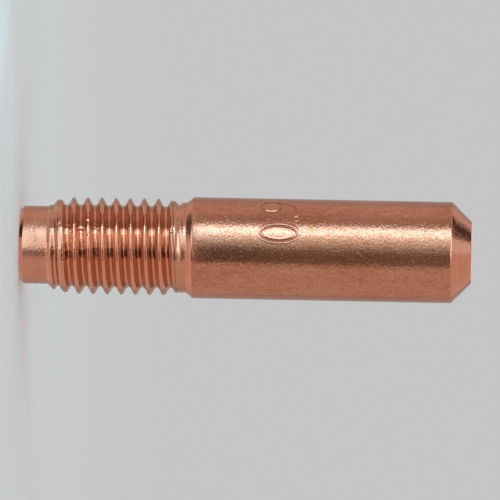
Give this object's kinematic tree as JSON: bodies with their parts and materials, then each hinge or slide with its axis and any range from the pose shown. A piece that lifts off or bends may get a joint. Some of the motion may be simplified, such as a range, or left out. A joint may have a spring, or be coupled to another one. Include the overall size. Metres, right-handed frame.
{
  "type": "welding contact tip",
  "caption": "Short copper rod with a rolled thread and plain pilot at the rear, a chamfered nose and a wire bore along its axis; passes current to the wire of a welding torch.",
  "frame": {"origin": "centre of the rear face, on the axis, where the part stands", "axes": "+Z along the axis from the threaded rear end to the nose, X and Y across"},
  "size_m": [0.0065, 0.0064, 0.029],
  "materials": {
    "copper": "satin turned copper, burnished on the rolled thread"
  },
  "bodies": {
    "root": {"contact_tip": "copper"}
  },
  "joints": []
}
